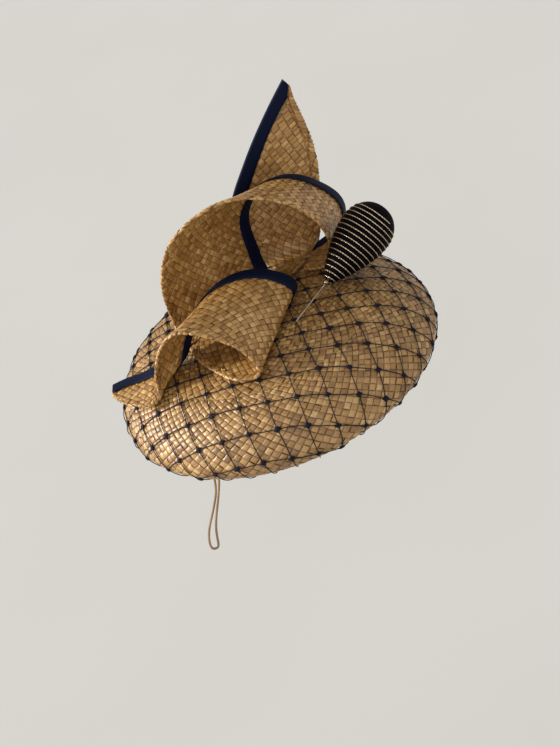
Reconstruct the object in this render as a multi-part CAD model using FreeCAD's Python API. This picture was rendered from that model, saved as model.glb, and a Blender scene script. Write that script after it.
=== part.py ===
"""Percher hat: a button-shaped straw base under veiling, a curled straw trim and a hat pin.

Millimetres. The origin is the centre of the head opening, in the plane of the rim.
+Z goes up through the crown, -Y is the side that shows the curls' open ends, and +X is
the side that the hat pin points to.
"""
import math
import os

import FreeCAD
import Part
from FreeCAD import Vector

# ---- crown: outer profile as (radius, height), from its top to its turned-under rim
CROWN_PROFILE = [
    (0.0, 46.0), (30.0, 45.7), (50.0, 44.5), (66.0, 41.6), (80.0, 36.0),
    (90.0, 28.2), (96.0, 18.6), (97.6, 11.0), (94.5, 4.2), (86.0, 0.0),
]
STRAW_THICKNESS = 1.6
LAYER_GAP = 0.2
FOUNDATION_THICKNESS = 1.2
FOUNDATION_END = 7          # profile points that the stiff foundation follows
LINING_THICKNESS = 0.6
LINING_END = 8
NET_THICKNESS = 0.5
NET_GAP = 0.15
NET_END = 9
RIM_WIRE_RADIUS = 0.8
RIM_WIRE_PLACE = (91.4, 5.4)
HEADBAND_RADIUS = 85.2
HEADBAND_THICKNESS = 0.8
HEADBAND_LOW = 0.6
HEADBAND_HIGH = 20.0
NET_THREAD_RADIUS = 0.6
NET_THREAD_PLACE = (88.6, 3.4)

# ---- straw strips: each station is (point on the hemmed edge, point on the bound edge)
FRONT_CURL = [
    ((-95.6, -7.5, 40.3), (-93.4, 2.5, 41)),
    ((-90, -20.5, 40.6), (-84, 2.4, 41.2)),
    ((-80.1, -32.2, 41), (-74.6, -1, 42.5)),
    ((-73.5, -34.8, 41), (-62, -6, 45.6)),
    ((-69.5, -31.5, 42.5), (-48, -12, 48)),
    ((-68, -30, 49), (-42.5, -10, 52)),
    ((-64.5, -30.5, 59), (-38, -8.5, 58)),
    ((-57, -34.5, 72), (-30, -6.5, 66)),
    ((-44, -41, 80), (-18, 1, 73)),
    ((-25, -50.5, 71), (3, 5.5, 73)),
    ((-16.5, -55, 62.5), (19, 2, 67)),
    ((-12, -58.5, 51), (28, -0.5, 56)),
    ((-13.5, -61, 46.5), (25.5, 2, 50.3)),
    ((-24.6, -57, 46.8), (20.5, 10, 49.4)),
    ((-33.8, -42, 47.3), (18, 19, 48.8)),
    ((-41.3, -22, 47.6), (17, 26, 48.5)),
    ((-43.3, -7.6, 48), (16.6, 30.8, 48.4)),
]
REAR_LOOP = [
    ((-43.5, -5, 48), (16.5, 33, 48.4)),
    ((-46.5, 5, 50.5), (17.5, 41.5, 48.6)),
    ((-46.5, 10.5, 59), (17, 45.5, 52.5)),
    ((-45, 9, 76), (17.2, 46.5, 61.2)),
    ((-40.5, 6, 92), (17.6, 46.3, 73)),
    ((-30, 3, 108.5), (19.8, 45, 85.2)),
    ((-8, 0.5, 120), (28.5, 42.5, 96.5)),
    ((14, 0, 120), (40.5, 41.5, 101)),
    ((34, 0, 109.5), (54, 41, 97.5)),
    ((48.5, 1.5, 93.3), (66, 41.5, 86)),
    ((54.8, 4, 75.7), (73.5, 43, 73)),
    ((54.6, 8.5, 60.6), (73.5, 45.5, 60)),
    ((51.2, 14.5, 49.4), (67, 47, 51)),
    ((44, 18, 47.2), (60, 46, 49.5)),
    ((36, 23.5, 47.4), (51, 41.5, 50)),
]
SPIRE = [
    ((71, 50, 146.5), (68.3, 50, 152)),
    ((70.5, 50, 138), (57, 50, 142)),
    ((71.5, 50, 119), (39, 50, 124.5)),
    ((70, 50, 97), (24, 50.5, 107.5)),
    ((65, 50.5, 78), (12, 51, 91)),
    ((58.5, 51, 58), (6.5, 51, 71)),
    ((52.5, 49.5, 46.5), (8, 50.5, 56)),
    ((46.5, 41, 45.6), (13, 49.5, 48.5)),
    ((38, 31.5, 46.9), (20.3, 42.5, 47.4)),
    ((28.5, 23.5, 47.8), (20.8, 35, 47.8)),
]
STRIP_THICKNESS = 1.6
HEM_THICKNESS = 2.4
HEM_WIDTH = 4.0
HEM_STEP = 0.4
BINDING_WIDTH = 8.8
BINDING_THICKNESS = 0.5
BINDING_GAP = 0.15
EDGE_WIRE_RADIUS = 0.4
EDGE_INSET = 1.9            # from the bound edge's line in to the straw's own edge
EDGE_WIRE_SIDES = 8
STEPS_PER_STATION = 4
SPIRE_RIBBON_STATIONS = 7   # the point's ribbon and wire stop where the strip folds forward
SAME_WAY = 1                # both edges of a ruled face run the same way

# ---- hat pin, along its own axis from the point where it enters the crown
PIN_ENTRY = Vector(20.3, -22.6, 46.0)
PIN_DIRECTION = Vector(0.8755, 0.3491, 0.334)
PIN_RADIUS = 0.4
PIN_BORE_RADIUS = 0.45
PIN_HOLE_RADIUS = 0.8
PIN_POINT = -27.0
PIN_POINT_TAPER = 5.0
PIN_SHANK_END = 40.0
BEAD_START = 25.1
BEAD_RADIUS = 1.6
HEAD_PROFILE = [
    (28.7, 3.1), (33.5, 6.1), (40.5, 9.5), (50.5, 13.2), (61.0, 15.3),
    (69.0, 15.0), (75.0, 12.4), (79.6, 7.2), (81.5, 0.0),
]
WINDING_THICKNESS = 1.6
GOLD_TURNS = 16
GOLD_RADIUS = 0.35
GOLD_LIFT = 0.52            # from the winding's face out to the thread's middle
GOLD_FIRST = 30.7
GOLD_PITCH = 2.96

# ---- hat elastic: a folded loop, both ends knotted inside the headband
ELASTIC_DIAMETER = 1.4
ELASTIC_ROUTE = [
    (-55.5, -60.5, 9.0), (-55.9, -60.4, 2.0), (-57.6, -59.9, -5.5), (-60.8, -59.5, -13.5),
    (-64.6, -59.0, -21.5), (-68.2, -58.4, -28.8), (-71.2, -57.8, -35.6), (-73.3, -57.2, -41.6),
    (-74.6, -56.7, -46.8), (-75.4, -56.4, -50.4), (-76.3, -56.3, -53.2), (-78.0, -56.3, -54.0),
    (-79.7, -56.3, -53.3), (-80.4, -56.3, -51.6), (-80.2, -56.3, -49.0), (-79.2, -56.4, -45.0),
    (-77.2, -56.6, -40.0), (-74.3, -57.0, -34.6), (-71.0, -57.2, -29.6), (-67.4, -57.3, -23.6),
    (-63.4, -57.4, -16.6), (-60.8, -57.6, -8.8), (-59.6, -57.8, -0.6), (-59.3, -57.8, 6.0),
    (-59.4, -57.7, 11.0),
]
ARC_SHARE = 0.45
KNOT_RADIUS = 1.3
KNOT_LENGTH = 3.0

CENTRE = Vector(0, 0, 0)
UP = Vector(0, 0, 1)


def export(name, solids):
    """Write one node as a STEP file, from one solid or a list of separate solids."""
    shape = solids if isinstance(solids, Part.Shape) else Part.makeCompound(solids)
    shape.exportStep(os.path.join("parts", name + ".step"))
    print(name, "valid", shape.isValid(), "volume", round(shape.Volume), "solids", len(shape.Solids))


# ---------------------------------------------------------------- turned shapes
def offset_profile(profile, distance):
    """Move a profile sideways by a distance, outwards from the solid's axis when positive."""
    moved = []
    for index, (radius, height) in enumerate(profile):
        before = profile[max(index - 1, 0)]
        after = profile[min(index + 1, len(profile) - 1)]
        run = (after[0] - before[0], after[1] - before[1])
        length = math.hypot(*run)
        normal = (-run[1] / length, run[0] / length)
        if index == 0:
            normal = (0.0, 1.0)
        moved.append((radius + normal[0] * distance, height + normal[1] * distance))
    return moved


def spline_edge(points, parameters=None):
    """One smooth edge through points given as vectors, at given parameters or at its own."""
    curve = Part.BSplineCurve()
    if parameters is None:
        curve.interpolate(points)
    else:
        curve.interpolate(Points=points, Parameters=parameters)
    return curve.toShape()


def revolved_shell(outer, inner):
    """The solid between two profiles of (radius, height) that start on the Z axis."""
    outer_points = [Vector(radius, 0, height) for radius, height in outer]
    inner_points = [Vector(radius, 0, height) for radius, height in inner]
    edges = [
        spline_edge(outer_points),
        Part.LineSegment(outer_points[-1], inner_points[-1]).toShape(),
        spline_edge(inner_points[::-1]),
        Part.LineSegment(inner_points[0], outer_points[0]).toShape(),
    ]
    face = Part.Face(Part.Wire(edges))
    return face.revolve(CENTRE, UP, 360)


def crown_layer(outer_depth, thickness, points):
    """A layer of the crown that starts at a depth under the straw's outer face."""
    profile = CROWN_PROFILE[:points]
    outer = offset_profile(profile, -outer_depth) if outer_depth else profile
    return revolved_shell(outer, offset_profile(profile, -outer_depth - thickness))


def ring(radius, height, section_radius):
    """A closed round ring about the Z axis."""
    return Part.makeTorus(radius, section_radius, Vector(0, 0, height), UP)


def headband():
    outer = Part.makeCylinder(HEADBAND_RADIUS, HEADBAND_HIGH - HEADBAND_LOW, Vector(0, 0, HEADBAND_LOW))
    inner = Part.makeCylinder(HEADBAND_RADIUS - HEADBAND_THICKNESS, HEADBAND_HIGH, CENTRE)
    return outer.cut(inner)


# ---------------------------------------------------------------- strips
def smooth_rows(stations, steps):
    """Smooth both edges of a strip, with a number of rows from each station to the next."""
    curves = []
    for side in (0, 1):
        curve = Part.BSplineCurve()
        curve.interpolate(Points=[Vector(*station[side]) for station in stations],
                          Parameters=station_parameters(stations))
        curves.append(curve)
    parameters = station_parameters(stations)
    rows = []
    for start, end in zip(parameters, parameters[1:]):
        for step in range(steps):
            rows.append(start + (end - start) * step / steps)
    rows.append(parameters[-1])
    return curves, rows


def station_parameters(stations):
    """Spline parameters that grow with the root of how far both edges move."""
    parameters = [0.0]
    for before, after in zip(stations, stations[1:]):
        moved = sum((Vector(*after[side]) - Vector(*before[side])).Length for side in (0, 1))
        parameters.append(parameters[-1] + math.sqrt(moved))
    return parameters


def strip_frames(stations):
    """Rows along a strip, and their frames: bound edge's point, way to the hem, face's normal, width."""
    (hem_curve, bound_curve), rows = smooth_rows(stations, STEPS_PER_STATION)
    frames = []
    for parameter in rows:
        hem = hem_curve.value(parameter)
        bound = bound_curve.value(parameter)
        across = hem - bound
        width = across.Length
        across.normalize()
        along = hem_curve.tangent(parameter)[0] + bound_curve.tangent(parameter)[0]
        normal = across.cross(along)
        normal.normalize()
        frames.append((bound, across, normal, width))
    return frames, rows


def skin(sections, parameters):
    """A solid whose sections are polygons with the same number of corners, joined smoothly."""
    corners = len(sections[0])
    lines = [spline_edge([section[corner] for section in sections], parameters) for corner in range(corners)]
    faces = [Part.makeRuledSurface(lines[corner], lines[(corner + 1) % corners], SAME_WAY)
             for corner in range(corners)]
    for section in (sections[0], sections[-1]):
        faces.append(Part.Face(Part.makePolygon(section + section[:1])))
    shell = Part.makeShell(faces)
    shell.sewShape()
    solid = Part.makeSolid(shell)
    if solid.Volume < 0:
        solid.reverse()
    return solid


def placed_section(frame, outline):
    """Put an outline of (distance in from the bound edge, distance off the face) on a frame."""
    bound, across, normal, _ = frame
    return [bound + across * inward + normal * off for inward, off in outline]


def straw_outline(width):
    """Flat straw with a thicker turned hem along its free edge."""
    hem = min(HEM_WIDTH, 0.2 * width)
    edge = min(EDGE_INSET, 0.2 * width)
    step = min(HEM_STEP, 0.05 * width)
    half = STRIP_THICKNESS / 2
    thick = HEM_THICKNESS / 2
    return [
        (edge, -half), (edge, half), (width - hem - step, half), (width - hem, thick),
        (width, thick), (width, -thick), (width - hem, -thick), (width - hem - step, -half),
    ]


def binding_outline(width):
    """A folded ribbon round the bound edge, with room for a wire in the fold."""
    reach = min(BINDING_WIDTH, 0.72 * width)
    inside = STRIP_THICKNESS / 2 + BINDING_GAP
    outside = inside + BINDING_THICKNESS
    spine = BINDING_THICKNESS
    return [
        (reach, outside), (0, outside), (0, -outside), (reach, -outside),
        (reach, -inside), (spine, -inside), (spine, inside), (reach, inside),
    ]


def wire_outline(width):
    """The round wire in the fold of the binding, as a polygon."""
    centre = (BINDING_THICKNESS + min(EDGE_INSET, 0.2 * width)) / 2
    radius = min(EDGE_WIRE_RADIUS, 0.06 * width)
    turn = 2 * math.pi / EDGE_WIRE_SIDES
    return [(centre + radius * math.cos(turn * side), radius * math.sin(turn * side))
            for side in range(EDGE_WIRE_SIDES)]


def strip_parts(stations, bound_stations):
    """The straw, the ribbon binding and the wire of one strip. The last two follow its first stations."""
    frames, rows = strip_frames(stations)
    bound_rows = (bound_stations - 1) * STEPS_PER_STATION + 1
    solids = []
    for outline, count in ((straw_outline, len(rows)), (binding_outline, bound_rows), (wire_outline, bound_rows)):
        sections = [placed_section(frame, outline(frame[3])) for frame in frames[:count]]
        solids.append(skin(sections, rows[:count]))
    return solids


# ---------------------------------------------------------------- hat pin
def pin_place(shape):
    """Turn a shape made along +Z from the origin into the pin's axis, from its entry point."""
    axis = Vector(PIN_DIRECTION)
    axis.normalize()
    shape.Placement = FreeCAD.Placement(PIN_ENTRY, FreeCAD.Rotation(UP, axis))
    return shape


def turned(profile):
    """A solid of revolution about +Z from (height, radius) points that run up its outside."""
    points = [Vector(radius, 0, height) for height, radius in profile]
    edges = [spline_edge(points)]
    low = Vector(0, 0, points[0].z)
    edges.append(Part.LineSegment(points[-1], low).toShape())
    edges.append(Part.LineSegment(low, points[0]).toShape())
    return Part.Face(Part.Wire(edges)).revolve(CENTRE, UP, 360)


def pin_bore(radius):
    return Part.makeCylinder(radius, PIN_SHANK_END - PIN_POINT + 1, Vector(0, 0, PIN_POINT))


def pin_parts():
    """Shank, bead, core, winding and metallic thread of the hat pin."""
    straight = PIN_POINT + PIN_POINT_TAPER
    shank = Part.makeCylinder(PIN_RADIUS, PIN_SHANK_END - straight, Vector(0, 0, straight))
    point = Part.makeCone(0.05, PIN_RADIUS, PIN_POINT_TAPER, Vector(0, 0, PIN_POINT))
    bead_centre = Vector(0, 0, BEAD_START + BEAD_RADIUS)
    bead = Part.makeSphere(BEAD_RADIUS, bead_centre).cut(pin_bore(PIN_BORE_RADIUS))
    outside = turned(HEAD_PROFILE)
    core_profile = [(height + WINDING_THICKNESS * (0.15 if radius else -1.0), max(radius - WINDING_THICKNESS, 0.0))
                    for height, radius in HEAD_PROFILE]
    core_space = turned(core_profile)
    winding = outside.cut(core_space).cut(pin_bore(PIN_BORE_RADIUS))
    inner_profile = [(height, max(radius - BINDING_GAP, 0.0)) for height, radius in core_profile]
    core = turned(inner_profile).cut(pin_bore(PIN_BORE_RADIUS))
    gold = []
    for turn in range(GOLD_TURNS):
        height = GOLD_FIRST + GOLD_PITCH * turn
        gold.append(gold_ring(outside, height))
    return {
        "pin_shank": shank.fuse(point).removeSplitter(),
        "pin_bead": bead,
        "pin_core": core,
        "pin_winding": winding,
        "pin_gold_thread": gold,
    }


def gold_ring(head, height):
    """One turn of the metallic thread, resting on the head at a height along the pin."""
    slice_edge = head.slice(UP, height)[0]
    radius = slice_edge.BoundBox.XLength / 2
    return Part.makeTorus(radius + GOLD_LIFT, GOLD_RADIUS, Vector(0, 0, height), UP)


# ---------------------------------------------------------------- hat elastic
def cord_wire(route):
    """Straight runs joined by tangent arcs, each as large as its two runs allow."""
    points = [Vector(*point) for point in route]
    edges = []
    radii = []
    start = points[0]
    for before, corner, after in zip(points, points[1:], points[2:]):
        into = corner - before
        out = after - corner
        shorter = min(into.Length, out.Length)
        into.normalize()
        out.normalize()
        half_turn = into.getAngle(out) / 2
        setback = ARC_SHARE * shorter
        radius = setback / math.tan(half_turn)
        radii.append(round(radius, 1))
        arc_start = corner - into * setback
        arc_end = corner + out * setback
        to_centre = out - into
        to_centre.normalize()
        centre = corner + to_centre * (radius / math.cos(half_turn))
        middle = centre - to_centre * radius
        edges.append(Part.LineSegment(start, arc_start).toShape())
        edges.append(Part.Arc(arc_start, middle, arc_end).toShape())
        start = arc_end
    edges.append(Part.LineSegment(start, points[-1]).toShape())
    print("elastic radii", radii)
    return Part.Wire(edges)


def elastic():
    """The elastic's tube and the knot on each end."""
    wire = cord_wire(ELASTIC_ROUTE)
    first, second = (Vector(*point) for point in ELASTIC_ROUTE[:2])
    last, before_last = (Vector(*point) for point in ELASTIC_ROUTE[:-3:-1])
    radius = ELASTIC_DIAMETER / 2
    section = Part.Wire(Part.Circle(first, second - first, radius).toShape())
    tube = wire.makePipeShell([section], True, True)
    print("elastic length", round(wire.Length, 1), "volume by length", round(wire.Length * math.pi * radius ** 2))
    knots = []
    for end, inner in ((first, second), (last, before_last)):
        away = end - inner
        away.normalize()
        barrel = Part.makeCylinder(KNOT_RADIUS, KNOT_LENGTH, end, away)
        knots.append(barrel.makeFillet(0.5, barrel.Edges))
    return tube, knots


def main():
    os.makedirs("parts", exist_ok=True)
    pin = {name: pin_place(shape) if isinstance(shape, Part.Shape) else [pin_place(one) for one in shape]
           for name, shape in pin_parts().items()}
    pin_hole = pin_place(pin_bore(PIN_HOLE_RADIUS))

    depth = STRAW_THICKNESS + LAYER_GAP
    export("crown_straw", crown_layer(0, STRAW_THICKNESS, len(CROWN_PROFILE)).cut(pin_hole))
    export("crown_foundation", crown_layer(depth, FOUNDATION_THICKNESS, FOUNDATION_END).cut(pin_hole))
    depth += FOUNDATION_THICKNESS + LAYER_GAP
    export("crown_lining", crown_layer(depth, LINING_THICKNESS, LINING_END).cut(pin_hole))
    export("veiling_net", crown_layer(-NET_GAP - NET_THICKNESS, NET_THICKNESS, NET_END).cut(pin_hole))
    export("rim_wire", ring(*RIM_WIRE_PLACE, RIM_WIRE_RADIUS))
    export("net_gather_thread", ring(*NET_THREAD_PLACE, NET_THREAD_RADIUS))
    export("headband_ribbon", headband())

    strips = (
        ("front_curl", FRONT_CURL, len(FRONT_CURL)),
        ("rear_loop", REAR_LOOP, len(REAR_LOOP)),
        ("spire", SPIRE, SPIRE_RIBBON_STATIONS),
    )
    for name, stations, bound_stations in strips:
        straw, binding, wire = strip_parts(stations, bound_stations)
        export(name + "_straw", straw)
        export(name + "_binding", binding)
        export(name + "_wire", wire)

    for name, shape in pin.items():
        export(name, shape)

    tube, knots = elastic()
    export("hat_elastic", tube)
    export("elastic_knots", knots)


main()
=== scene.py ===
"""Looks of the percher hat: woven straw, veiling, ribbon, wound hat pin and elastic."""
import math
import random

import bpy
import numpy as np
from mathutils import Matrix, Vector


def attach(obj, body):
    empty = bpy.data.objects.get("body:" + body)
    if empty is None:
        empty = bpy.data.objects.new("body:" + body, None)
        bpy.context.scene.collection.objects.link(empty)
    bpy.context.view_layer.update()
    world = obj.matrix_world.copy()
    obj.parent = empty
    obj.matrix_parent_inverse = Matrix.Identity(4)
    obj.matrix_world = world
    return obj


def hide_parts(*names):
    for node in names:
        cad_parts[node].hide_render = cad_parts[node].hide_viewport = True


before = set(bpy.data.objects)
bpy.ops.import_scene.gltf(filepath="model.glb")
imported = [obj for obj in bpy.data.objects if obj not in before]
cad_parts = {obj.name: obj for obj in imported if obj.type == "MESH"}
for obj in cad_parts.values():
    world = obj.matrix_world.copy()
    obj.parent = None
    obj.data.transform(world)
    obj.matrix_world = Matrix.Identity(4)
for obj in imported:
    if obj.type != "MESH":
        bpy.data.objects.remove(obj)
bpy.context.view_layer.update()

MM = 0.001
RANDOM_SEED = 7
rng = np.random.default_rng(RANDOM_SEED)

# ---- camera: a place in the hat's frame, its viewing directions and its lens
CAMERA_PLACE = (-0.0019, -0.7642, 0.5007)
CAMERA_RIGHT = (0.9114, -0.2247, -0.3447)
CAMERA_UP = (0.4115, 0.4977, 0.7635)
CAMERA_LENS = 73.7
FLOOR_HEIGHT = -0.42

# ---- crown: outer profile as (radius, height) in mm
CROWN_PROFILE = [
    (0.0, 46.0), (30.0, 45.7), (50.0, 44.5), (66.0, 41.6), (80.0, 36.0),
    (90.0, 28.2), (96.0, 18.6), (97.6, 11.0), (94.5, 4.2), (86.0, 0.0),
]
STRAW_DEPTH = 0.75

# ---- inside of the hat in mm: the lining's reach is a distance along the crown's outer profile
LINING_DEPTH = 4.1
LINING_REACH = 113.0
LINING_GATHERS = 180
HEADBAND_RADIUS = 84.8
HEADBAND_LOW = 0.7
HEADBAND_HIGH = 19.9
HEADBAND_START = math.radians(100)
HEADBAND_LAP = 0.12             # radians that the ribbon runs on past a full round
STITCH_COUNT = 90
STITCH_HALF = 1.5
STITCH_HEIGHT = 2.4
STITCH_INSET = 0.45
STITCH_RADIUS = 0.17

# ---- straw strips in mm: each station is (point on the hemmed edge, point on the bound edge)
FRONT_CURL = [
    ((-95.6, -7.5, 40.3), (-93.4, 2.5, 41)),
    ((-90, -20.5, 40.6), (-84, 2.4, 41.2)),
    ((-80.1, -32.2, 41), (-74.6, -1, 42.5)),
    ((-73.5, -34.8, 41), (-62, -6, 45.6)),
    ((-69.5, -31.5, 42.5), (-48, -12, 48)),
    ((-68, -30, 49), (-42.5, -10, 52)),
    ((-64.5, -30.5, 59), (-38, -8.5, 58)),
    ((-57, -34.5, 72), (-30, -6.5, 66)),
    ((-44, -41, 80), (-18, 1, 73)),
    ((-25, -50.5, 71), (3, 5.5, 73)),
    ((-16.5, -55, 62.5), (19, 2, 67)),
    ((-12, -58.5, 51), (28, -0.5, 56)),
    ((-13.5, -61, 46.5), (25.5, 2, 50.3)),
    ((-24.6, -57, 46.8), (20.5, 10, 49.4)),
    ((-33.8, -42, 47.3), (18, 19, 48.8)),
    ((-41.3, -22, 47.6), (17, 26, 48.5)),
    ((-43.3, -7.6, 48), (16.6, 30.8, 48.4)),
]
REAR_LOOP = [
    ((-43.5, -5, 48), (16.5, 33, 48.4)),
    ((-46.5, 5, 50.5), (17.5, 41.5, 48.6)),
    ((-46.5, 10.5, 59), (17, 45.5, 52.5)),
    ((-45, 9, 76), (17.2, 46.5, 61.2)),
    ((-40.5, 6, 92), (17.6, 46.3, 73)),
    ((-30, 3, 108.5), (19.8, 45, 85.2)),
    ((-8, 0.5, 120), (28.5, 42.5, 96.5)),
    ((14, 0, 120), (40.5, 41.5, 101)),
    ((34, 0, 109.5), (54, 41, 97.5)),
    ((48.5, 1.5, 93.3), (66, 41.5, 86)),
    ((54.8, 4, 75.7), (73.5, 43, 73)),
    ((54.6, 8.5, 60.6), (73.5, 45.5, 60)),
    ((51.2, 14.5, 49.4), (67, 47, 51)),
    ((44, 18, 47.2), (60, 46, 49.5)),
    ((36, 23.5, 47.4), (51, 41.5, 50)),
]
SPIRE = [
    ((71, 50, 146.5), (68.3, 50, 152)),
    ((70.5, 50, 138), (57, 50, 142)),
    ((71.5, 50, 119), (39, 50, 124.5)),
    ((70, 50, 97), (24, 50.5, 107.5)),
    ((65, 50.5, 78), (12, 51, 91)),
    ((58.5, 51, 58), (6.5, 51, 71)),
    ((52.5, 49.5, 46.5), (8, 50.5, 56)),
    ((46.5, 41, 45.6), (13, 49.5, 48.5)),
    ((38, 31.5, 46.9), (20.3, 42.5, 47.4)),
    ((28.5, 23.5, 47.8), (20.8, 35, 47.8)),
]
HEM_WIDTH = 4.0
FOLD_RADIUS = 0.7
EDGE_INSET = 1.9
BINDING_WIDTH = 8.8
BINDING_HALF = 1.2
SPIRE_RIBBON_STATIONS = 7
RIB_PITCH = 1.0

# ---- weave: the crown is plaited in rounds, as (flat radius, lengths of straw each way round)
PITCH = 3.6
BIAS = 45.0
CENTRE_RADIUS = 22.5
CROWN_ROUNDS = [(22.0, 40), (42.0, 64), (68.0, 96)]
ROUND_LAP = 1.2
ROUND_SLOPE = 1.19
STRIP_REACH = 80.0
CROWN_RISE = 0.42
CROWN_ARCH = 0.22
STRIP_RISE = 0.30
STRIP_ARCH = 0.10
# how far the painted shade in the straws' creases darkens them
CREASE_PAINTED_SHADE = 0.78
STRAW_TINTS = [
    (0.10, (0.19, 0.084, 0.019)), (0.36, (0.33, 0.165, 0.039)), (0.58, (0.49, 0.266, 0.077)),
    (0.80, (0.69, 0.430, 0.165)), (1.0, (0.92, 0.68, 0.37)),
]
CELL_LEAN = 0.52
SCALLOP_PITCH = 2.6
SCALLOP_DEPTH = 0.45

# ---- veiling: places of its knots, along the crown's surface from the centre of its top
NET_STEP = 15.3
NET_ROW = 15.7
NET_SLOPE = -4.6
NET_START = (18.4, -37.5)
NET_BOW_X = (0.06, -0.09, 0.29)
NET_BOW_Y = (0.08, -0.22, -0.18)
NET_REACH = 126.0
NET_HEIGHT = 0.35
NET_RADIUS = 0.27

# ---- hat pin, along its own axis from the point where it enters the crown
PIN_ENTRY = Vector((20.3, -22.6, 46.0))
PIN_DIRECTION = Vector((0.8755, 0.3491, 0.334)).normalized()
HEAD_PROFILE = [
    (28.4, 2.8), (33.5, 6.1), (40.5, 9.5), (50.5, 13.2), (61.0, 15.3),
    (69.0, 15.0), (75.0, 12.4), (79.6, 7.2), (81.5, 0.0),
]
CORD_PITCH = 0.78
GOLD_FIRST = 30.7
GOLD_PITCH = 2.96
GOLD_TURNS = 16
GOLD_CLOSE = 1.15
GOLD_TWIST = 3.4
STRAND_RADIUS = 0.16
STRAND_OFFSET = 0.17
STRAND_LIFT = 0.22
CORD_RIDGE = 0.16

# ---- hat elastic, in metres
ELASTIC_DIAMETER = 0.0014
ELASTIC_ROUTE = [
    (-0.0555, -0.0605, 0.0090), (-0.0559, -0.0604, 0.0020), (-0.0576, -0.0599, -0.0055),
    (-0.0608, -0.0595, -0.0135), (-0.0646, -0.0590, -0.0215), (-0.0682, -0.0584, -0.0288),
    (-0.0712, -0.0578, -0.0356), (-0.0733, -0.0572, -0.0416), (-0.0746, -0.0567, -0.0468),
    (-0.0754, -0.0564, -0.0504), (-0.0763, -0.0563, -0.0532), (-0.0780, -0.0563, -0.0540),
    (-0.0797, -0.0563, -0.0533), (-0.0804, -0.0563, -0.0516), (-0.0802, -0.0563, -0.0490),
    (-0.0792, -0.0564, -0.0450), (-0.0772, -0.0566, -0.0400), (-0.0743, -0.0570, -0.0346),
    (-0.0710, -0.0572, -0.0296), (-0.0674, -0.0573, -0.0236), (-0.0634, -0.0574, -0.0166),
    (-0.0608, -0.0576, -0.0088), (-0.0596, -0.0578, -0.0006), (-0.0593, -0.0578, 0.0060),
    (-0.0594, -0.0577, 0.0110),
]

# ---- stage: each sun is (name, way to the sun, strength, spread in degrees, colour)
SUNS = [
    ("window", (-1.0, 0.24, 0.40), 5.0, 14.0, (1.0, 0.965, 0.90)),
    ("front", (-0.35, -0.9, 0.4), 0.8, 60.0, (1.0, 0.97, 0.93)),
]
ROOM_COLOUR = (1.0, 0.98, 0.95, 1.0)
ROOM_STRENGTH = 0.66
FLOOR_HALF = 3.0
FLOOR_TONES = [(0.3, (0.49, 0.49, 0.48)), (0.7, (0.505, 0.505, 0.495))]


# ---------------------------------------------------------------- materials
class Nodes:
    """Short calls for building one material's node tree."""

    def __init__(self, name, roughness=0.6):
        self.material = bpy.data.materials.new(name)
        self.material.use_nodes = True
        self.tree = self.material.node_tree
        self.shader = self.tree.nodes["Principled BSDF"]
        self.shader.inputs["Roughness"].default_value = roughness

    def add(self, kind, **settings):
        node = self.tree.nodes.new(kind)
        for key, value in settings.items():
            setattr(node, key, value)
        return node

    def link(self, source, target):
        self.tree.links.new(source, target)

    def math(self, operation, first, second=0.0):
        node = self.add("ShaderNodeMath", operation=operation)
        for socket, value in zip(node.inputs, (first, second)):
            if isinstance(value, (int, float)):
                socket.default_value = value
            else:
                self.link(value, socket)
        return node.outputs[0]

    def noise(self, vector, scale, detail=3.0, roughness=0.5):
        node = self.add("ShaderNodeTexNoise")
        node.inputs["Scale"].default_value = scale
        node.inputs["Detail"].default_value = detail
        node.inputs["Roughness"].default_value = roughness
        self.link(vector, node.inputs["Vector"])
        return node.outputs["Fac"]

    def random(self, vector):
        node = self.add("ShaderNodeTexWhiteNoise", noise_dimensions="3D")
        self.link(vector, node.inputs["Vector"])
        return node.outputs["Value"]

    def vector(self, x, y, z=0.0):
        node = self.add("ShaderNodeCombineXYZ")
        for socket, value in zip(node.inputs, (x, y, z)):
            if isinstance(value, (int, float)):
                socket.default_value = value
            else:
                self.link(value, socket)
        return node.outputs[0]

    def split(self, vector):
        node = self.add("ShaderNodeSeparateXYZ")
        self.link(vector, node.inputs[0])
        return node.outputs

    def ramp(self, factor, stops):
        node = self.add("ShaderNodeValToRGB")
        elements = node.color_ramp.elements
        while len(elements) < len(stops):
            elements.new(0.5)
        for element, (place, colour) in zip(elements, stops):
            element.position = place
            element.color = (*colour, 1.0)
        self.link(factor, node.inputs[0])
        return node.outputs["Color"]

    def smooth_step(self, value, low, high):
        node = self.add("ShaderNodeMapRange", interpolation_type="SMOOTHSTEP")
        self.link(value, node.inputs["Value"])
        node.inputs["From Min"].default_value = low
        node.inputs["From Max"].default_value = high
        return node.outputs[0]

    def place(self, output="Object"):
        return self.add("ShaderNodeTexCoord").outputs[output]

    def bump(self, height, strength, distance):
        node = self.add("ShaderNodeBump")
        node.inputs["Strength"].default_value = strength
        node.inputs["Distance"].default_value = distance
        self.link(height, node.inputs["Height"])
        self.link(node.outputs["Normal"], self.shader.inputs["Normal"])

    def set(self, **values):
        for key, value in values.items():
            self.shader.inputs[key.replace("_", " ")].default_value = value


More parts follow.
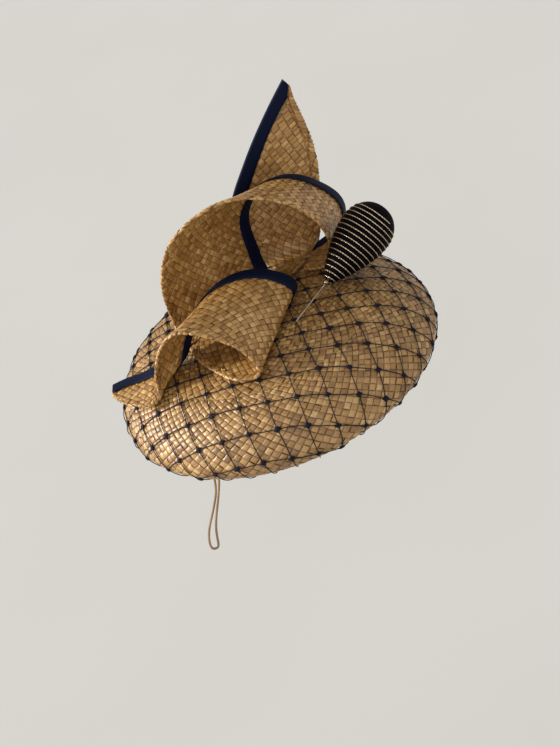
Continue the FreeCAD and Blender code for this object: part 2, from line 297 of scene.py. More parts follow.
def straw_material(name, glow_share, shade):
    """Flat plaited straw: a tone for each length and each crossing, fibres along it, and painted shade that
    darkens its creases.
    Some light comes through it, by the glow share. The shade scales all the tones."""
    n = Nodes(name, 0.38)
    across, along, _ = n.split(n.place("UV"))
    length_index = n.math("FLOOR", across)
    cell_index = n.math("FLOOR", n.math("ADD", along, 0.5))
    length_tone = n.random(n.vector(length_index, 3.0))
    cell_tone = n.random(n.vector(length_index, cell_index, 7.0))
    fibre_place = n.vector(n.math("MULTIPLY", across, 7.0), n.math("MULTIPLY", along, 0.6))
    fibre = n.noise(fibre_place, 1.6, 4.0, 0.6)
    stain = n.noise(n.place(), 30.0, 3.0)
    tone = n.math("ADD", n.math("MULTIPLY", length_tone, 0.24), n.math("MULTIPLY", cell_tone, 0.36))
    tone = n.math("ADD", tone, n.math("SUBTRACT", n.math("MULTIPLY", fibre, 0.85), 0.22))
    tone = n.math("ADD", tone, n.math("MULTIPLY", n.math("SUBTRACT", stain, 0.5), 0.25))
    stops = [(place, tuple(part * shade for part in tint)) for place, tint in STRAW_TINTS]
    colour = n.ramp(tone, stops)
    off_middle = n.math("ABSOLUTE", n.math("SUBTRACT", n.math("FRACT", across), 0.5))
    cell_part = n.math("FRACT", n.math("ADD", along, 0.5))
    off_crossing = n.math("ABSOLUTE", n.math("SUBTRACT", cell_part, 0.5))
    # Painted shade: the straw darkens at its sides and where it goes under the next straw
    side_painted_shade = n.smooth_step(off_middle, 0.36, 0.46)
    end_painted_shade = n.smooth_step(off_crossing, 0.37, 0.50)
    crease_painted_shade = n.math("MAXIMUM", side_painted_shade, end_painted_shade)
    fleck = n.noise(n.vector(n.math("MULTIPLY", across, 3.0), along), 2.3, 2.0)
    dark = n.math("MULTIPLY", n.math("GREATER_THAN", fleck, 0.74), 0.5)
    # Painted shade: the creases blend towards this dark brown, which also colours the straw's real dark
    # flecks
    mix = n.add("ShaderNodeMix", data_type="RGBA")
    n.link(n.math("MAXIMUM", n.math("MULTIPLY", crease_painted_shade, CREASE_PAINTED_SHADE), dark), mix.inputs["Factor"])
    n.link(colour, mix.inputs["A"])
    mix.inputs["B"].default_value = (0.085, 0.032, 0.009, 1.0)
    n.link(mix.outputs["Result"], n.shader.inputs["Base Color"])
    n.link(n.math("ADD", n.math("MULTIPLY", fibre, 0.25), 0.31), n.shader.inputs["Roughness"])
    n.bump(fibre, 0.4, 0.0002)
    n.set(Specular_IOR_Level=0.75)
    glow = n.add("ShaderNodeBsdfTranslucent")
    n.link(mix.outputs["Result"], glow.inputs["Color"])
    blend = n.add("ShaderNodeMixShader")
    blend.inputs[0].default_value = glow_share
    n.link(n.shader.outputs[0], blend.inputs[1])
    n.link(glow.outputs[0], blend.inputs[2])
    n.link(blend.outputs[0], n.tree.nodes["Material Output"].inputs["Surface"])
    return n.material


def cloth_material(name, dark, light, scale, bump, roughness=0.8, sheen=0.3, gloss=0.3):
    """Plain cloth or thread: two tones in a fine noise, a fine bump and a little sheen."""
    n = Nodes(name, roughness)
    grain = n.noise(n.place(), scale, 4.0, 0.65)
    broad = n.noise(n.place(), scale * 0.06, 2.0)
    tone = n.math("ADD", n.math("MULTIPLY", grain, 0.6), n.math("MULTIPLY", broad, 0.4))
    n.link(n.ramp(tone, [(0.3, dark), (0.7, light)]), n.shader.inputs["Base Color"])
    n.bump(grain, 0.5, bump)
    n.set(Sheen_Weight=sheen, Sheen_Roughness=0.4, Specular_IOR_Level=gloss)
    return n.material


def ribbon_material(name, dark, light, sheen=0.25):
    """Ribbed ribbon: its ribs run across it, on UV in mm along the ribbon."""
    n = Nodes(name, 0.62)
    across, along, _ = n.split(n.place("UV"))
    rib = n.math("SINE", n.math("MULTIPLY", along, 2.0 * math.pi / RIB_PITCH))
    rib = n.math("ADD", n.math("MULTIPLY", rib, 0.5), 0.5)
    yarn = n.noise(n.vector(n.math("MULTIPLY", across, 2.0), n.math("MULTIPLY", along, 6.0)), 2.0, 4.0)
    tone = n.math("ADD", n.math("MULTIPLY", rib, 0.45), n.math("MULTIPLY", yarn, 0.55))
    n.link(n.ramp(tone, [(0.25, dark), (0.75, light)]), n.shader.inputs["Base Color"])
    n.bump(n.math("ADD", rib, n.math("MULTIPLY", yarn, 0.5)), 0.55, 0.00012)
    n.set(Sheen_Weight=sheen, Sheen_Roughness=0.35, Specular_IOR_Level=0.1)
    return n.material


def metal_material(name, dark, light, scale, roughness):
    """Metal in two tones, with a fine bump."""
    n = Nodes(name, roughness)
    grain = n.noise(n.place(), scale, 3.0)
    n.link(n.ramp(grain, [(0.35, dark), (0.65, light)]), n.shader.inputs["Base Color"])
    n.bump(grain, 0.35, 0.0001)
    n.set(Metallic=1.0)
    return n.material


def floor_material():
    n = Nodes("pale_floor", 0.9)
    grain = n.noise(n.place(), 3.0, 2.0)
    n.link(n.ramp(grain, FLOOR_TONES), n.shader.inputs["Base Color"])
    return n.material


CROWN_STRAW = straw_material("crown_straw", 0.04, 0.76)
STRIP_STRAW = straw_material("strip_straw", 0.18, 1.05)
NAVY_RIBBON = ribbon_material("navy_ribbon", (0.0010, 0.0022, 0.010), (0.0032, 0.0078, 0.034), 0.01)
PETERSHAM = ribbon_material("petersham", (0.30, 0.19, 0.10), (0.46, 0.32, 0.19), 0.2)
NAVY_THREAD = cloth_material("navy_thread", (0.003, 0.003, 0.007), (0.010, 0.010, 0.022), 900.0, 0.0001,
                             roughness=0.7, sheen=0.05, gloss=0.15)
NAVY_CORD = cloth_material("navy_cord", (0.0006, 0.0004, 0.0008), (0.0026, 0.0014, 0.0026), 1400.0, 0.00012,
                           roughness=0.6, sheen=0.01, gloss=0.04)
LINING_CLOTH = cloth_material("lining", (0.34, 0.23, 0.13), (0.50, 0.37, 0.24), 700.0, 0.0001, 0.45, 0.4)
# The buckram's dark brown is partly painted shade: it shows as shadow in the gaps between the crown's
# straws
BUCKRAM = cloth_material("buckram", (0.20, 0.12, 0.055), (0.32, 0.21, 0.11), 500.0, 0.0002)
ELASTIC_CLOTH = cloth_material("elastic", (0.17, 0.10, 0.05), (0.34, 0.23, 0.135), 1800.0, 0.0002, 0.7, 0.1)
TAN_THREAD = cloth_material("tan_thread", (0.30, 0.19, 0.09), (0.50, 0.36, 0.20), 1600.0, 0.0001)
GOLD = metal_material("gold_thread", (0.50, 0.36, 0.20), (1.0, 0.90, 0.70), 2600.0, 0.25)
BRONZE = metal_material("bronze_bead", (0.10, 0.075, 0.045), (0.62, 0.50, 0.34), 420.0, 0.22)
STEEL = metal_material("pin_steel", (0.36, 0.30, 0.25), (0.55, 0.48, 0.42), 200.0, 0.35)
WIRE = metal_material("wire", (0.40, 0.40, 0.41), (0.60, 0.60, 0.61), 300.0, 0.4)
CORE_WOOD = cloth_material("core_wood", (0.40, 0.26, 0.14), (0.55, 0.39, 0.23), 200.0, 0.0001)


# ---------------------------------------------------------------- mesh helpers
def new_object(name, data):
    """A new object in the scene that shows the data."""
    made = bpy.data.objects.new(name, data)
    bpy.context.scene.collection.objects.link(made)
    return made


def mesh_object(name, points, quads, material, uvs=None):
    """A mesh in metres from points in mm, with faces as lists of indices and a UV for each point."""
    mesh = bpy.data.meshes.new(name)
    mesh.from_pydata((np.asarray(points) * MM).tolist(), [], [list(map(int, quad)) for quad in quads])
    if uvs is not None:
        layer = mesh.uv_layers.new(name="UVMap")
        loops = np.empty(len(mesh.loops), dtype=np.int32)
        mesh.loops.foreach_get("vertex_index", loops)
        layer.data.foreach_set("uv", np.asarray(uvs, dtype=np.float32)[loops].ravel())
    mesh.polygons.foreach_set("use_smooth", [True] * len(mesh.polygons))
    mesh.materials.append(material)
    mesh.update()
    return new_object(name, mesh)


def grid_quads(rows, columns, closed=False):
    """Faces of a grid of points, row by row. A closed grid joins its last column to its first."""
    quads = []
    last = columns if closed else columns - 1
    for row in range(rows - 1):
        for column in range(last):
            after = (column + 1) % columns
            quads.append((row * columns + column, row * columns + after,
                          (row + 1) * columns + after, (row + 1) * columns + column))
    return quads


def unit(vectors):
    lengths = np.linalg.norm(vectors, axis=-1, keepdims=True)
    return vectors / np.maximum(lengths, 1e-9)


def spline(knots, values):
    """A natural cubic spline through the values. Returns a function of an array of parameters."""
    knots = np.asarray(knots, dtype=float)
    values = np.asarray(values, dtype=float)
    count = len(knots)
    steps = np.diff(knots)
    slopes = np.diff(values, axis=0) / steps[:, None]
    matrix = np.eye(count)
    right = np.zeros_like(values)
    for i in range(1, count - 1):
        matrix[i, i - 1:i + 2] = (steps[i - 1], 2 * (steps[i - 1] + steps[i]), steps[i])
        right[i] = 6 * (slopes[i] - slopes[i - 1])
    bends = np.linalg.solve(matrix, right)

    def evaluate(places):
        places = np.asarray(places, dtype=float)
        i = np.clip(np.searchsorted(knots, places) - 1, 0, count - 2)
        h = steps[i][..., None]
        a = (knots[i + 1] - places)[..., None] / h
        b = 1.0 - a
        curve = a * values[i] + b * values[i + 1]
        return curve + ((a ** 3 - a) * bends[i] + (b ** 3 - b) * bends[i + 1]) * h ** 2 / 6

    return evaluate


def tube(points, radii, sides=6):
    """Points and faces of a round tube along a line."""
    points = np.asarray(points, dtype=float)
    ways = unit(np.gradient(points, axis=0))
    side = np.cross(ways[0], (0.3, 0.5, 0.8))
    rings = []
    for point, way, radius in zip(points, ways, np.broadcast_to(radii, len(points))):
        side = unit(side - way * np.dot(side, way))
        other = np.cross(way, side)
        turns = np.arange(sides) * 2 * math.pi / sides
        rings.append(point + radius * (np.outer(np.cos(turns), side) + np.outer(np.sin(turns), other)))
    return np.concatenate(rings), grid_quads(len(points), sides, closed=True)


class Gather:
    """Collects pieces of points and faces into one mesh."""

    def __init__(self):
        self.points = []
        self.quads = []
        self.uvs = []
        self.count = 0

    def add(self, points, quads, uvs=None):
        self.points.append(np.asarray(points))
        self.quads.append(np.asarray(quads, dtype=int) + self.count)
        self.uvs.append(np.zeros((len(points), 2)) if uvs is None else np.asarray(uvs))
        self.count += len(points)

    def object(self, name, material):
        quads = [quad for block in self.quads for quad in block.tolist()]
        return mesh_object(name, np.concatenate(self.points), quads, material, np.concatenate(self.uvs))


# ---------------------------------------------------------------- surfaces
class Crown:
    """The crown's surface, mapped from flat cloth: a flat distance from the centre is the same
    distance along the outer profile."""

    def __init__(self):
        profile = np.array(CROWN_PROFILE)
        knots = np.concatenate([[0.0], np.cumsum(np.linalg.norm(np.diff(profile, axis=0), axis=1))])
        mirrored = np.concatenate([profile[:0:-1] * (-1, 1), profile])
        self.curve = spline(np.concatenate([-knots[:0:-1], knots]), mirrored)
        self.reach = knots[-1]

    def place(self, x, y, depth):
        """Points on the crown and the normals there, for flat places and depths under the outer face."""
        distance = np.hypot(x, y)
        safe = np.maximum(distance, 1e-6)
        cosine = np.where(distance > 1e-6, x / safe, 1.0)
        sine = np.where(distance > 1e-6, y / safe, 0.0)
        reach = np.minimum(distance, self.reach)
        here = self.curve(reach)
        ahead = self.curve(np.minimum(reach + 0.2, self.reach)) - self.curve(reach - 0.2)
        normal = unit(np.stack([-ahead[..., 1], ahead[..., 0]], axis=-1))
        radius = here[..., 0] - normal[..., 0] * depth
        height = here[..., 1] - normal[..., 1] * depth
        points = np.stack([radius * cosine, radius * sine, height], axis=-1)
        normals = np.stack([normal[..., 0] * cosine, normal[..., 0] * sine, normal[..., 1]], axis=-1)
        return points, normals

    def inside(self, x, y):
        return np.hypot(x, y) < CENTRE_RADIUS

    def clamp(self, x, y):
        distance = np.hypot(x, y)
        factor = np.minimum(1.0, CENTRE_RADIUS / np.maximum(distance, 1e-6))
        return x * factor, y * factor


class Round:
    """One plaited round of the crown: x is outwards from its start and y is once round the crown,
    stretched so that straws crossing at a right angle on the flat stay even all the way round."""

    def __init__(self, crown, start, end, lengths):
        self.crown = crown
        self.start = start
        self.unit = lengths * PITCH * math.sqrt(2.0) / (2.0 * math.pi)
        self.high_y = 2.0 * math.pi * self.unit
        self.flat = np.linspace(start, end, 300)
        radius = crown.curve(self.flat)[:, 0]
        steps = np.diff(self.flat) / ((radius[1:] + radius[:-1]) / 2.0)
        self.out = ROUND_SLOPE * self.unit * np.concatenate([[0.0], np.cumsum(steps)])
        self.high_x = self.out[-1]

    def place(self, x, y, depth):
        distance = np.interp(x, self.out, self.flat)
        angle = y / self.unit + math.pi / 2.0
        tuck = 0.5 * np.exp(-(distance - self.start) / 1.2)
        return self.crown.place(distance * np.cos(angle), distance * np.sin(angle), depth + tuck)

    def inside(self, x, y):
        return (x > 0) & (x < self.high_x) & (y > 0) & (y < self.high_y)

    def clamp(self, x, y):
        return np.clip(x, 0.0, self.high_x), np.clip(y, 0.0, self.high_y)


class Strip:
    """A strip's surface: x is mm along its middle line, y is mm from its bound edge towards its hem."""

    def __init__(self, stations):
        edges = np.array(stations, dtype=float)
        moved = np.linalg.norm(np.diff(edges, axis=0), axis=2).sum(axis=1)
        knots = np.concatenate([[0.0], np.cumsum(np.sqrt(moved))])
        self.hem = spline(knots, edges[:, 0])
        self.bound = spline(knots, edges[:, 1])
        fine = np.linspace(0.0, knots[-1], 600)
        middle = (self.hem(fine) + self.bound(fine)) / 2
        run = np.concatenate([[0.0], np.cumsum(np.linalg.norm(np.diff(middle, axis=0), axis=1))])
        self.knots = knots
        self.fine = fine
        self.run = run
        self.length = run[-1]

    def turned(self, width):
        """Width of the turned hem and radius of its fold, both less where the strip is narrow."""
        return np.minimum(HEM_WIDTH, 0.2 * width), np.minimum(FOLD_RADIUS, 0.12 * width)

    def frame(self, x):
        """Bound edge, way to the hem, width and parameter at a distance along the strip."""
        parameter = np.interp(x, self.run, self.fine)
        bound = self.bound(parameter)
        across = self.hem(parameter) - bound
        width = np.linalg.norm(across, axis=-1)
        return bound, across / width[..., None], width, parameter

    def normal(self, parameter, across):
        low = np.maximum(parameter - 0.02, 0.0)
        high = np.minimum(parameter + 0.02, self.fine[-1])
        along = unit(self.hem(high) - self.hem(low)) + unit(self.bound(high) - self.bound(low))
        return unit(np.cross(across, along))

    def place(self, x, y, depth):
        """Points on the strip and its turned hem. A depth moves them against the normal."""
        bound, across, width, parameter = self.frame(x)
        normal = self.normal(parameter, across)
        hem, fold = self.turned(width)
        scallop = SCALLOP_DEPTH * (np.abs(np.sin(x * math.pi / SCALLOP_PITCH)) - 0.6)
        turn_place = width - fold + scallop * np.minimum(1.0, width / 20.0)
        turn = np.clip((y - turn_place) / fold, 0.0, math.pi)
        back = np.maximum(y - turn_place - fold * math.pi, 0.0)
        rise = np.clip((y - (width - hem - 1.5)) / 1.5, 0.0, 1.0)
        inward = np.minimum(y, turn_place) + fold * np.sin(turn) - back
        off = fold * np.cos(turn) * rise
        facing = normal * np.cos(turn)[..., None] + across * np.sin(turn)[..., None]
        points = bound + across * inward[..., None] + normal * off[..., None]
        return points - facing * np.asarray(depth)[..., None], facing

    def limits(self, x):
        """Lowest and highest y of the straw, its turned hem included."""
        _, _, width, _ = self.frame(np.clip(x, 0.0, self.length))
        hem, fold = self.turned(width)
        low = np.minimum(EDGE_INSET, 0.2 * width)
        return low, width - fold + fold * math.pi + hem - fold

    def inside(self, x, y):
        low, high = self.limits(x)
        return (x > 0) & (x < self.length) & (y > low) & (y < high)

    def clamp(self, x, y):
        low, high = self.limits(x)
        return np.clip(x, 0.0, self.length), np.clip(y, low, high)


# ---------------------------------------------------------------- weave
def woven(gather, surface, reach, depth, rise, arch_height):
    """Real over-and-under flat straw on a surface, as far as its flat places reach from (0, 0).
    The rise is half the step from under to over, and the arch is the curve across a straw."""
    count = int(reach / PITCH) + 1
    steps = 6
    across_steps = np.array([-0.5, -0.40, -0.2, 0.0, 0.2, 0.40, 0.5])
    along = np.arange(-count * steps, count * steps + 1) / steps
    for family in (0, 1):
        angle = math.radians(BIAS + 90.0 * family)
        way = (math.cos(angle), math.sin(angle))
        side = (-math.sin(angle), math.cos(angle))
        for index in range(-count, count + 1):
            wander = 0.05 * np.sin(along * 0.35 + index * 1.7) + 0.025 * np.sin(along * 1.3 + index)
            half = 0.93 + 0.09 * rng.random() + 0.03 * np.sin(along * 0.8 + index * 2.3)
            centre = (index + 0.08 * (rng.random() - 0.5) + wander) * PITCH
            crossing = np.rint(along).astype(int) + count
            lean = CELL_LEAN * (rng.random((2, 2 * count + 1)) - 0.5)[:, crossing]
            offset = across_steps[None, :] * half[:, None] * PITCH + centre[:, None]
            run = along[:, None] * PITCH + 0.0 * offset
            x = way[0] * run + side[0] * offset
            y = way[1] * run + side[1] * offset
            kept = surface.inside(x, y)
            rows = np.flatnonzero(kept.any(axis=1))
            if len(rows) < 1:
                continue
            chosen = slice(max(rows[0] - 1, 0), rows[-1] + 2)
            x, y = surface.clamp(x[chosen], y[chosen])
            kept = kept[chosen]
            part = along[chosen]
            sign = 1.0 if (index + family) % 2 == 0 else -1.0
            wave = sign * np.cos(part * math.pi)
            lift = rise * np.sign(wave) * np.abs(wave) ** 0.6
            arch = arch_height * (1 - (2 * across_steps) ** 2) * np.sign(wave)[:, None]
            lean = lean[:, chosen] * np.abs(wave) ** 0.6
            roll = lean[0][:, None] * across_steps + (lean[1] * (part - np.rint(part)))[:, None]
            height = lift[:, None] + arch + roll
            points, _ = surface.place(x, y, depth - height)
            count_rows, count_columns = x.shape
            quads = np.array(grid_quads(count_rows, count_columns))
            quads = quads[kept.ravel()[quads].any(axis=1)]
            used = np.unique(quads)
            remap = np.full(count_rows * count_columns, -1)
            remap[used] = np.arange(len(used))
            strand = (index + count) + 1000 * family + 0.5
            u = strand + across_steps[None, :] * 0.9 + 0.0 * x
            v = part[:, None] + 0.0 * x + 40
            uvs = np.stack([u.ravel(), v.ravel()], axis=1)[used]
            gather.add(points.reshape(-1, 3)[used], remap[quads], uvs)


# ---------------------------------------------------------------- ribbon bindings
def binding(name, strip, stations):
    """Ribbed navy ribbon folded over the strip's bound edge along its first stations."""
    end = np.interp(strip.knots[stations - 1], strip.fine, strip.run)
    rows = int(end / (RIB_PITCH / 4)) + 1
    x = np.linspace(0.0, end, rows)
    bound, across, width, parameter = strip.frame(x)
    normal = strip.normal(parameter, across)
    arc = np.concatenate([[0.0], np.cumsum(np.linalg.norm(np.diff(bound, axis=0), axis=1))])
    tooth = 0.10 * np.sin(arc * 2 * math.pi / RIB_PITCH)
    reach = np.minimum(BINDING_WIDTH, 0.72 * width) + tooth
    half = np.minimum(BINDING_HALF, 0.35 * width)
    section = [(1.0, 0.80), (1.0, 1.0), (0.66, 1.02), (0.33, 1.03), (0.12, 1.0)]
    turns = np.linspace(math.pi / 2, -math.pi / 2, 7)[1:-1]
    columns = []
    along_section = []
    for share, off in section:
        columns.append((reach * share, half * off))
    for turn in turns:
        columns.append((half * 0.55 * (1 - math.cos(turn)), half * math.sin(turn)))
    for share, off in section[::-1]:
        columns.append((reach * share, -half * off))
    for inward, off in columns:
        along_section.append(bound + across * inward[:, None] + normal * off[:, None])
    points = np.stack(along_section, axis=1).reshape(-1, 3)
    count = len(columns)
    u = np.tile(np.arange(count) * 0.9, rows)
    v = np.repeat(arc, count)
    return mesh_object(name, points, grid_quads(rows, count), NAVY_RIBBON, np.stack([u, v], axis=1))


# ---------------------------------------------------------------- veiling
def net_place(column, row):
    """A knot's flat place: an even lattice, bowed a little where the net was pulled over the crown."""
    bend = np.array([column * column, row * row, column * row])
    x = NET_START[0] + NET_STEP * column + float(bend @ NET_BOW_X)
    y = NET_START[1] - NET_ROW * row + NET_SLOPE * column + float(bend @ NET_BOW_Y)
    wobble = random.Random(column * 101 + row)
    return x + wobble.uniform(-0.5, 0.5), y + wobble.uniform(-0.5, 0.5)


def veiling(crown):
    """Threads between knots, and the knots, over the crown and under its rim."""
    threads = Gather()
    knots = Gather()
    span = range(-12, 12)
    for column in span:
        for row in range(-14, 10):
            x, y = net_place(column, row)
            if math.hypot(x, y) < NET_REACH - 2:
                add_knot(knots, crown, x, y, column * 37 + row)
            for next_column, next_row in ((column + 1, row), (column, row + 1)):
                add_thread(threads, crown, (x, y), net_place(next_column, next_row), column + row)
    return threads.object("veiling_threads", NAVY_THREAD), knots.object("veiling_knots", NAVY_THREAD)


def add_thread(gather, crown, start, end, index):
    share = np.linspace(0.0, 1.0, 13)
    x = start[0] + (end[0] - start[0]) * share
    y = start[1] + (end[1] - start[1]) * share
    bow = math.sin(index * 2.4) * 0.35
    x = x + bow * np.sin(share * math.pi) * (end[1] - start[1]) / NET_ROW
    y = y - bow * np.sin(share * math.pi) * (end[0] - start[0]) / NET_STEP
    kept = np.hypot(x, y) < NET_REACH
    if kept.sum() < 3:
        return
    x = x[kept]
    y = y[kept]
    points, _ = crown.place(x, y, -NET_HEIGHT * np.ones_like(x))
    near_knot = np.minimum(share, 1 - share)[kept]
    radii = NET_RADIUS * (1.0 + 1.2 * np.exp(-near_knot / 0.06))
    gather.add(*tube(points, radii, 6))


def add_knot(gather, crown, x, y, seed):
    """A small fuzzy knot: a flattened ball drawn out towards its four threads."""
    wobble = random.Random(seed)
    centre, normal = crown.place(np.array(x), np.array(y), np.array(-NET_HEIGHT - 0.15))
    ahead, _ = crown.place(np.array(x + 0.5), np.array(y), np.array(-NET_HEIGHT - 0.15))
    first = unit(ahead - centre)
    second = np.cross(normal, first)
    size = wobble.uniform(0.85, 1.15)
    rows, columns = 7, 16
    points = []
    for row in range(rows):
        lean = math.pi * (row + 0.02) / (rows - 0.96)
        for column in range(columns):
            turn = 2 * math.pi * column / columns
            star = 1.40 + 0.60 * math.cos(2 * turn) ** 2 + wobble.uniform(-0.2, 0.2)
            reach = star * math.sin(lean) * size
            flat = first * 1.1 * math.cos(turn) + second * 0.9 * math.sin(turn)
            rise = 0.75 * math.cos(lean) + wobble.uniform(-0.08, 0.08)
            points.append(centre + flat * reach + normal * rise)
    gather.add(np.array(points), grid_quads(rows, columns, closed=True))


# ---------------------------------------------------------------- hat pin
def around_pin(height, radius, angle):
    """Points at heights along the pin, radii from its axis and angles round it."""
    first = PIN_DIRECTION.cross(Vector((0, 0, 1))).normalized()
    second = PIN_DIRECTION.cross(first)
    out = np.cos(angle)[..., None] * np.array(first) + np.sin(angle)[..., None] * np.array(second)
    return np.array(PIN_ENTRY) + height[..., None] * np.array(PIN_DIRECTION) + radius[..., None] * out


def head_outline():
    """The pin head's outline as (height along the pin, radius), by distance along it, and its length."""
    profile = np.array(HEAD_PROFILE, dtype=float)
    knots = np.concatenate([[0.0], np.cumsum(np.linalg.norm(np.diff(profile, axis=0), axis=1))])
    return spline(knots, profile), knots[-1]


def pin_winding():
    """The head wound with navy cord: a turned form with a ridge for each turn of cord."""
    curve, length = head_outline()
    columns = 84
    rows = int(length / (CORD_PITCH / 5))
    shares = np.linspace(0.0, length, rows)
    turns = np.arange(columns) / columns
    profile = curve(shares)
    ahead = unit(np.gradient(profile, axis=0))
    phase = shares[:, None] / CORD_PITCH - turns[None, :]
    ridge = CORD_RIDGE * (np.abs(np.cos(phase * math.pi)) - 0.75)
    ridge = ridge * np.minimum(1.0, profile[:, 1] / 2.0)[:, None]
    height = profile[:, 0][:, None] - ahead[:, 1][:, None] * ridge
    radius = np.maximum(profile[:, 1][:, None] + ahead[:, 0][:, None] * ridge, 0.0)
    points = around_pin(height, radius, turns * 2 * math.pi)
    quads = grid_quads(rows, columns, closed=True)
    return mesh_object("pin_winding_cord", points.reshape(-1, 3), quads, NAVY_CORD)


def pin_gold():
    """The metallic thread: two fine strands twisted together and wound over the cord."""
    curve, length = head_outline()
    fine = np.linspace(0.0, length, 400)
    profile = curve(fine)
    gather = Gather()
    steps = 160 * GOLD_TURNS
    turn = np.linspace(0.0, GOLD_TURNS, steps)
    height = GOLD_FIRST - 1.5 * GOLD_PITCH + turn * GOLD_PITCH + GOLD_CLOSE * np.exp(-turn / 0.8)
    radius = np.interp(height, profile[:, 0], profile[:, 1])
    angle = turn * 2 * math.pi
    arc = np.cumsum(radius) * (angle[1] - angle[0])
    for strand in (0, 1):
        twist = arc * 2 * math.pi / GOLD_TWIST + strand * math.pi
        lift = radius + STRAND_LIFT + STRAND_OFFSET * np.cos(twist)
        along = height + STRAND_OFFSET * np.sin(twist)
        gather.add(*tube(around_pin(along, lift, angle), STRAND_RADIUS, 6))
    return gather.object("pin_gold_winding", GOLD)


# ---------------------------------------------------------------- inside of the hat
def lining(crown):
    """Gathered lining, cut as a flat round as wide as the crown's outer profile. Its gathers are as
    deep as the spare girth of that round needs at each distance."""
    rows, columns = 40, 8 * LINING_GATHERS
    distance = np.linspace(0.0, LINING_REACH, rows)[:, None]
    angle = np.linspace(0.0, 2 * math.pi, columns, endpoint=False)[None, :]
    middle, _ = crown.place(distance, 0.0 * distance, LINING_DEPTH)
    radius = np.maximum(middle[..., 0], 1e-3)
    spare = np.maximum((distance / radius) ** 2 - 1.0, 0.0)
    spare[0] = 0.0
    deep = radius / LINING_GATHERS * np.sqrt(2.0 * spare)
    ripple = deep * np.sin(angle * LINING_GATHERS + 0.6 * np.sin(angle * 7))
    x = distance * np.cos(angle)
    y = distance * np.sin(angle)
    points, _ = crown.place(x, y, LINING_DEPTH + ripple)
    quads = grid_quads(rows, columns, closed=True)
    made = mesh_object("lining_cloth", points.reshape(-1, 3), quads, LINING_CLOTH)
    return made


def headband():
    """Petersham ribbon inside the opening, with fine ribs and a lapped join at the back."""
    turn = np.linspace(0.0, 2 * math.pi + HEADBAND_LAP, 1300)
    lap = np.clip((turn - 2 * math.pi) / HEADBAND_LAP, 0.0, 1.0)
    radius = HEADBAND_RADIUS - 0.35 * lap + 0.03 * np.sin(turn * HEADBAND_RADIUS * 2 * math.pi / RIB_PITCH)
    heights = np.linspace(HEADBAND_LOW, HEADBAND_HIGH, 7)
    x = radius[:, None] * np.cos(turn + HEADBAND_START)[:, None] + 0.0 * heights
    y = radius[:, None] * np.sin(turn + HEADBAND_START)[:, None] + 0.0 * heights
    z = heights[None, :] + 0.0 * x
    points = np.stack([x, y, z], axis=-1).reshape(-1, 3)
    u = np.tile(heights, len(turn))
    v = np.repeat(turn * HEADBAND_RADIUS, len(heights))
    made = mesh_object("headband_petersham", points, grid_quads(len(turn), len(heights)), PETERSHAM,
                       np.stack([u, v], axis=1))
    return made


def headband_stitches():
    """Small slanting stitches round the headband, each a little proud in its middle."""
    gather = Gather()
    radius = HEADBAND_RADIUS - STITCH_INSET
    share = np.linspace(-1.0, 1.0, 7)
    bow = radius - 0.15 + 0.35 * share ** 2
    for index in range(STITCH_COUNT):
        angle = 2 * math.pi * index / STITCH_COUNT + share * STITCH_HALF / radius
        height = STITCH_HEIGHT + share * 0.5
        points = np.stack([bow * np.cos(angle), bow * np.sin(angle), height], axis=-1)
        gather.add(*tube(points, STITCH_RADIUS, 5))
    return gather.object("headband_stitches", TAN_THREAD)


# ---------------------------------------------------------------- elastic
def elastic():
    """The round elastic, a smooth curve over its route."""
    curve = bpy.data.curves.new("elastic_cord", "CURVE")
    curve.dimensions = "3D"
    curve.bevel_depth = ELASTIC_DIAMETER / 2
    curve.bevel_resolution = 3
    curve.resolution_u = 8
    line = curve.splines.new("NURBS")
    line.points.add(len(ELASTIC_ROUTE) - 1)
    for point, place in zip(line.points, ELASTIC_ROUTE):
        point.co = (*place, 1.0)
    line.order_u = 3
    line.use_endpoint_u = True
    curve.materials.append(ELASTIC_CLOTH)
    return new_object("elastic_cord", curve)


# ---------------------------------------------------------------- build
def paint(node, material):
    """Gives a CAD node that stays in view its material."""
    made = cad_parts[node]
    made.data.materials.clear()
    made.data.materials.append(material)


def ride_as(made, body, slot_name, *nodes):
    """Puts a piece on its body, in place of the CAD nodes given. The slot name is not used."""
    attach(made, body)
    if nodes:
        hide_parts(*nodes)


crown = Crown()
crown_weave = Gather()
woven(crown_weave, crown, CENTRE_RADIUS, STRAW_DEPTH, CROWN_RISE, CROWN_ARCH)
round_ends = [start + ROUND_LAP for start, _ in CROWN_ROUNDS[1:]] + [crown.reach]
for (round_start, round_lengths), round_end in zip(CROWN_ROUNDS, round_ends):
    band = Round(crown, round_start, round_end, round_lengths)
    woven(crown_weave, band, math.hypot(band.high_x, band.high_y), STRAW_DEPTH, CROWN_RISE, CROWN_ARCH)
ride_as(crown_weave.object("crown_weave", CROWN_STRAW), "hat", "straw", "crown_straw")

strips = (
    ("front_curl", FRONT_CURL, len(FRONT_CURL)),
    ("rear_loop", REAR_LOOP, len(REAR_LOOP)),
    ("spire", SPIRE, SPIRE_RIBBON_STATIONS),
)
for strip_name, stations, bound_stations in strips:
    strip = Strip(stations)
    weave = Gather()
    woven(weave, strip, math.hypot(strip.length, STRIP_REACH), 0.0, STRIP_RISE, STRIP_ARCH)
    ride_as(weave.object(strip_name + "_weave", STRIP_STRAW), "hat", "straw", strip_name + "_straw")
    ribbon = binding(strip_name + "_ribbon", strip, bound_stations)
    ride_as(ribbon, "hat", "navy_ribbon", strip_name + "_binding")
    paint(strip_name + "_wire", WIRE)

net_threads, net_knots = veiling(crown)
ride_as(net_threads, "hat", "veiling", "veiling_net")
ride_as(net_knots, "hat", "veiling")

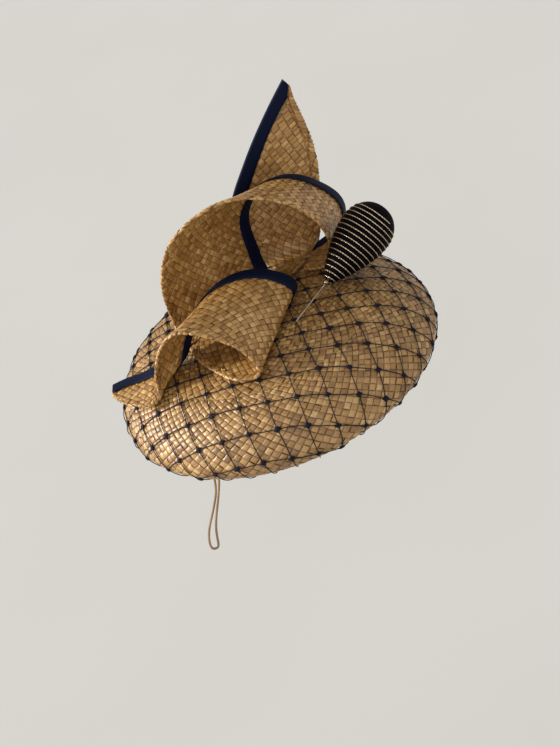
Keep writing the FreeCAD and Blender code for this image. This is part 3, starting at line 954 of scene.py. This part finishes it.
ride_as(pin_winding(), "pin", "navy_cord", "pin_winding")
ride_as(pin_gold(), "pin", "gold_thread", "pin_gold_thread")
ride_as(lining(crown), "hat", "lining", "crown_lining")
ride_as(headband(), "hat", "petersham", "headband_ribbon")
ride_as(headband_stitches(), "hat", "petersham")

cord = elastic()
ride_as(cord, "hat", "elastic", "hat_elastic")

paint("crown_foundation", BUCKRAM)
paint("rim_wire", WIRE)
paint("net_gather_thread", NAVY_THREAD)
paint("pin_shank", STEEL)
paint("pin_bead", BRONZE)
paint("pin_core", CORE_WOOD)
paint("elastic_knots", ELASTIC_CLOTH)


# ---------------------------------------------------------------- stage
def floor():
    """A plain pale floor, well under the hat."""
    mesh = bpy.data.meshes.new("floor")
    ways = ((-1, -1), (1, -1), (1, 1), (-1, 1))
    corners = [(x * FLOOR_HALF, y * FLOOR_HALF, FLOOR_HEIGHT) for x, y in ways]
    mesh.from_pydata(corners, [], [(0, 1, 2, 3)])
    mesh.materials.append(floor_material())
    new_object("floor", mesh)


def sun(name, toward, strength, spread, colour):
    """Even, soft studio light that comes from a direction. Its spread is in degrees."""
    data = bpy.data.lights.new(name, "SUN")
    data.energy = strength
    data.angle = math.radians(spread)
    data.color = colour
    made = new_object(name, data)
    made.rotation_euler = Vector(toward).to_track_quat("Z", "Y").to_euler()


def room():
    """Even light from all round."""
    world = bpy.data.worlds.new("room")
    world.use_nodes = True
    background = world.node_tree.nodes["Background"]
    background.inputs["Color"].default_value = ROOM_COLOUR
    background.inputs["Strength"].default_value = ROOM_STRENGTH
    bpy.context.scene.world = world


def camera():
    """The camera at its place, turned to its viewing directions."""
    right = Vector(CAMERA_RIGHT)
    up = Vector(CAMERA_UP)
    back = right.cross(up)
    data = bpy.data.cameras.new("camera")
    data.lens = CAMERA_LENS
    made = new_object("camera", data)
    turn = Matrix((right, up, back)).transposed().to_4x4()
    made.matrix_world = Matrix.Translation(CAMERA_PLACE) @ turn
    bpy.context.scene.camera = made


floor()
camera()
for settings in SUNS:
    sun(*settings)
room()
bpy.context.scene.view_settings.view_transform = "Standard"
